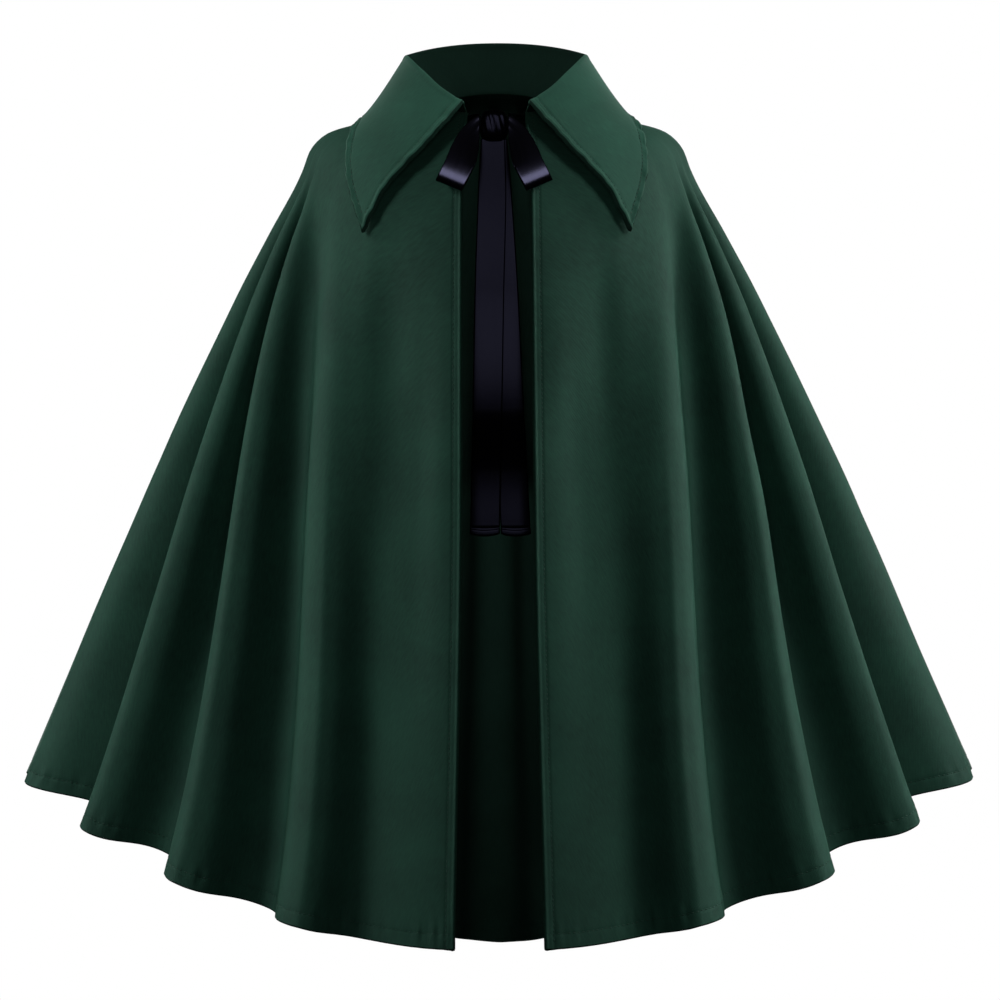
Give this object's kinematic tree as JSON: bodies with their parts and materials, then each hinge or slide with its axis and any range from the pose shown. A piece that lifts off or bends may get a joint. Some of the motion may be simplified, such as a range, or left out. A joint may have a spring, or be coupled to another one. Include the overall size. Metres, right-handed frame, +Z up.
{
  "type": "short cape",
  "caption": "Short flared cape worn open, with upright folds, a pointed turned-down collar and a satin ribbon tied in a bow at the neck.",
  "frame": {"origin": "middle of the neck opening, level with the neck seam over the shoulders, where the wearer's neck and shoulders hold the cape", "axes": "+Z up, -Y towards the front of the cape, +X towards the wearer's left"},
  "size_m": [0.8378, 0.6311, 0.8162],
  "materials": {
    "cape_cloth": "matte, closely woven, dark green",
    "satin_ribbon": "black satin"
  },
  "bodies": {
    "root": {"front_panel_left": "cape_cloth", "front_panel_right": "cape_cloth", "back_panel": "cape_cloth", "collar": "cape_cloth", "ribbon_knot": "satin_ribbon", "neck_tie_left": "satin_ribbon", "neck_tie_right": "satin_ribbon", "bow_loop_left": "satin_ribbon", "bow_loop_right": "satin_ribbon", "ribbon_tail_left": "satin_ribbon", "ribbon_tail_right": "satin_ribbon"}
  },
  "joints": []
}
